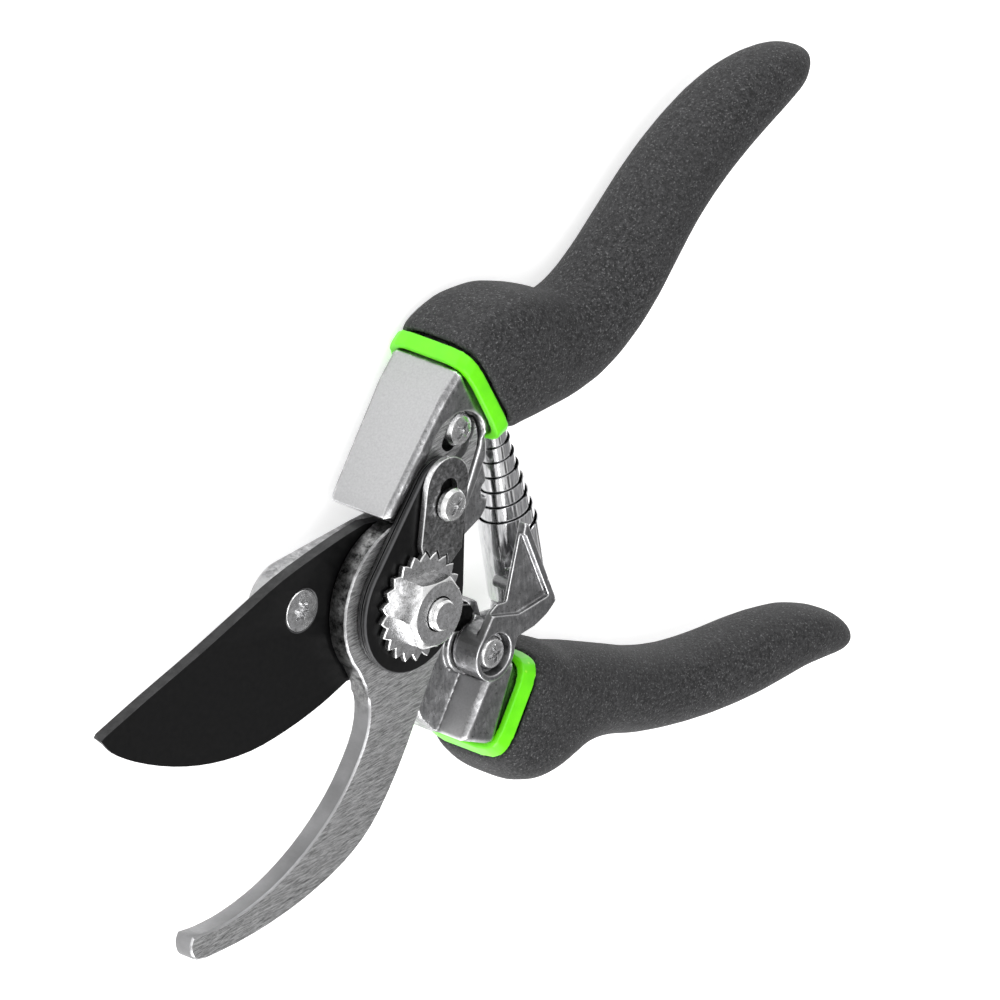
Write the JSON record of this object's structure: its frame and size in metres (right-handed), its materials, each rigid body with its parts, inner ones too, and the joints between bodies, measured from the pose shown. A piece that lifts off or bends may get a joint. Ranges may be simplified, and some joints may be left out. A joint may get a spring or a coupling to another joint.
{
  "type": "pruning shears",
  "caption": "Bypass pruning shears, open: curved cutting blade and hook on a bolt, volute spring between sleeved handles, toothed tension nut and thumb latch.",
  "frame": {"origin": "on the pivot axis, at the flat back of the pivot bolt's head, on which the tool rests", "axes": "+Z along the pivot axis, out of the front of the tool; +X back between the two handles; +Y towards the handle that carries the hook"},
  "size_m": [0.1985, 0.1296, 0.0281],
  "materials": {
    "cast_aluminium": "satin cast and tumbled",
    "grip_rubber": "fine grained matt",
    "band_plastic": "satin gloss",
    "black_steel": "satin non-stick coating",
    "brushed_steel": "ground with diagonal scratches",
    "zinc": "bright zinc plate",
    "spring_steel": "bright chrome",
    "brass": "turned"
  },
  "bodies": {
    "blade_half": {"lower_handle": "cast_aluminium", "lower_grip": "grip_rubber", "lower_band": "band_plastic", "cutting_blade": "black_steel", "blade_screw": "zinc", "pivot_bush": "brass", "latch_washer": "zinc", "latch_screw": "zinc", "spring": "spring_steel"},
    "hook_half": {"upper_handle": "cast_aluminium", "upper_grip": "grip_rubber", "upper_band": "band_plastic", "hook_blade": "brushed_steel", "tang_screw": "zinc", "pivot_spacer": "black_steel", "pivot_plate": "black_steel", "lock_plate": "zinc", "lock_screw": "zinc", "gear_nut": "zinc", "pivot_bolt": "zinc", "bolt_washer": "zinc"},
    "latch": {"latch_lever": "cast_aluminium"}
  },
  "joints": [
    {"name": "handle_pivot", "type": "hinge", "parent": "blade_half", "child": "hook_half", "pos_m": [0, 0, 0], "axis": [0, 0, -1], "range_deg": [0, 40], "stiffness_Nm_per_rad": 0.9, "springref_deg": -34.38, "deforming": ["spring"]},
    {"name": "latch_pivot", "type": "hinge", "parent": "blade_half", "child": "latch", "pos_m": [0.0196, -0.01895, 0], "axis": [0, 0, 1], "range_deg": [0, 12]}
  ]
}
